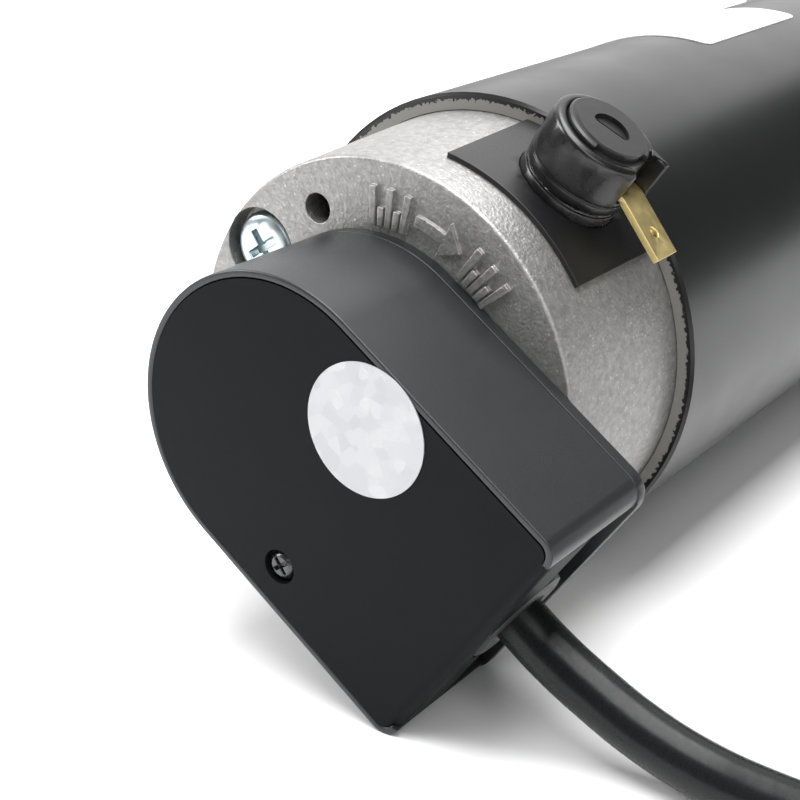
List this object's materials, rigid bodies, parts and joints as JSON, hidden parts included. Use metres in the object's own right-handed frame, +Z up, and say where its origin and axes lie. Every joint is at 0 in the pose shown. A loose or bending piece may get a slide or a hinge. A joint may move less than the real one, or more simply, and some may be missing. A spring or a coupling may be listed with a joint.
{
  "type": "brushed dc motor with encoder",
  "caption": "Round brushed DC motor with square front flange, screw-in brushes, and a keyhole-shaped rear encoder housing with a short cable and plug.",
  "frame": {"origin": "centre of the front mounting face, on the shaft axis", "axes": "+X along the shaft, out of the mounting face; +Z up for the motor lying on a bench, turned 53.4 degrees about its shaft so that it rests on its encoder housing and flange"},
  "size_m": [0.2092, 0.1619, 0.0628],
  "materials": {
    "black_paint": "satin",
    "cast_aluminium": "cast",
    "ferrite": "matte",
    "spring_steel": "satin",
    "zinc_screw": "bright zinc",
    "bearing_steel": "polished",
    "seal_rubber": "matte",
    "white_label": "satin",
    "ground_steel": "ground",
    "core_steel": "laminated",
    "copper_wire": "enamelled",
    "hub_resin": "matte",
    "copper_bar": "turned",
    "housing_plastic": "fine texture",
    "lid_plastic": "matte",
    "black_screw": "black oxide",
    "circuit_board": "satin",
    "reader_plastic": "satin",
    "connector_nylon": "satin",
    "lead_pvc": "satin",
    "grommet_rubber": "matte",
    "hub_aluminium": "turned",
    "disc_metal": "polished",
    "white_sticker": "satin",
    "cable_pvc": "satin",
    "tie_nylon": "satin",
    "hood_plastic": "fine texture",
    "nickel_shell": "nickel",
    "insert_plastic": "satin",
    "gold_contact": "gold",
    "nickel_screw": "nickel",
    "bakelite": "satin",
    "bakelite_cap": "satin",
    "carbon": "sintered",
    "brass": "bright",
    "fibre_sheet": "satin"
  },
  "bodies": {
    "root": {"motor_tube": "black_paint", "rear_end_bell": "cast_aluminium", "front_flange": "cast_aluminium", "upper_magnet": "ferrite", "lower_magnet": "ferrite", "magnet_clips": "spring_steel", "through_bolts": "zinc_screw", "rear_bearing_outer_ring": "bearing_steel", "front_bearing_outer_ring": "bearing_steel", "wave_washer": "spring_steel", "shaft_seal": "seal_rubber", "name_label": "white_label", "encoder_base_plate": "housing_plastic", "base_screws": "zinc_screw", "encoder_housing": "housing_plastic", "encoder_lid": "lid_plastic", "lid_screws": "black_screw", "encoder_board": "circuit_board", "optical_reader": "reader_plastic", "board_connector": "connector_nylon", "encoder_leads": "lead_pvc", "cable_clamp": "spring_steel", "clamp_screws": "zinc_screw", "cable_grommet": "grommet_rubber", "round_sticker": "white_sticker", "encoder_cable": "cable_pvc", "cable_coil": "cable_pvc", "cable_tail": "cable_pvc", "coil_ties": "tie_nylon", "plug_hood": "hood_plastic", "plug_shell": "nickel_shell", "plug_insert": "insert_plastic", "plug_contacts": "gold_contact", "plug_screws": "nickel_screw", "upper_brush_holder": "bakelite", "upper_brush_cap": "bakelite_cap", "upper_brush_spring": "spring_steel", "upper_terminal": "brass", "upper_saddle": "fibre_sheet", "lower_brush_holder": "bakelite", "lower_brush_cap": "bakelite_cap", "lower_brush_spring": "spring_steel", "lower_terminal": "brass", "lower_saddle": "fibre_sheet"},
    "rotor": {"motor_shaft": "ground_steel", "armature_core": "core_steel", "armature_windings": "copper_wire", "commutator_hub": "hub_resin", "commutator_bars": "copper_bar", "rear_bearing_inner_ring": "bearing_steel", "front_bearing_inner_ring": "bearing_steel", "disc_hub": "hub_aluminium", "code_disc": "disc_metal", "hub_set_screw": "black_screw"},
    "upper_brush": {"upper_brush": "carbon"},
    "lower_brush": {"lower_brush": "carbon"},
    "rear_balls": {"rear_bearing_balls": "bearing_steel"},
    "front_balls": {"front_bearing_balls": "bearing_steel"}
  },
  "joints": [
    {"name": "rotor_spin", "type": "hinge", "parent": "root", "child": "rotor", "pos_m": [0, 0, 0], "axis": [1, 0, 0], "continuous": true},
    {"name": "rear_balls_roll", "type": "hinge", "parent": "root", "child": "rear_balls", "pos_m": [0, 0, 0], "axis": [1, 0, 0], "continuous": true},
    {"name": "front_balls_roll", "type": "hinge", "parent": "root", "child": "front_balls", "pos_m": [0, 0, 0], "axis": [1, 0, 0], "continuous": true},
    {"name": "upper_brush_slide", "type": "slide", "parent": "root", "child": "upper_brush", "axis": [0, -0.5962, 0.8028], "range_m": [0, 0.004], "stiffness_N_per_m": 150, "springref_m": -0.006, "deforming": ["upper_brush_spring"]},
    {"name": "lower_brush_slide", "type": "slide", "parent": "root", "child": "lower_brush", "axis": [0, 0.5962, -0.8028], "range_m": [0, 0.004], "stiffness_N_per_m": 150, "springref_m": -0.006, "deforming": ["lower_brush_spring"]}
  ],
  "couplings": [
    {"joint": "rear_balls_roll", "follows": "rotor_spin", "ratio": 0.3684},
    {"joint": "front_balls_roll", "follows": "rotor_spin", "ratio": 0.3684}
  ]
}
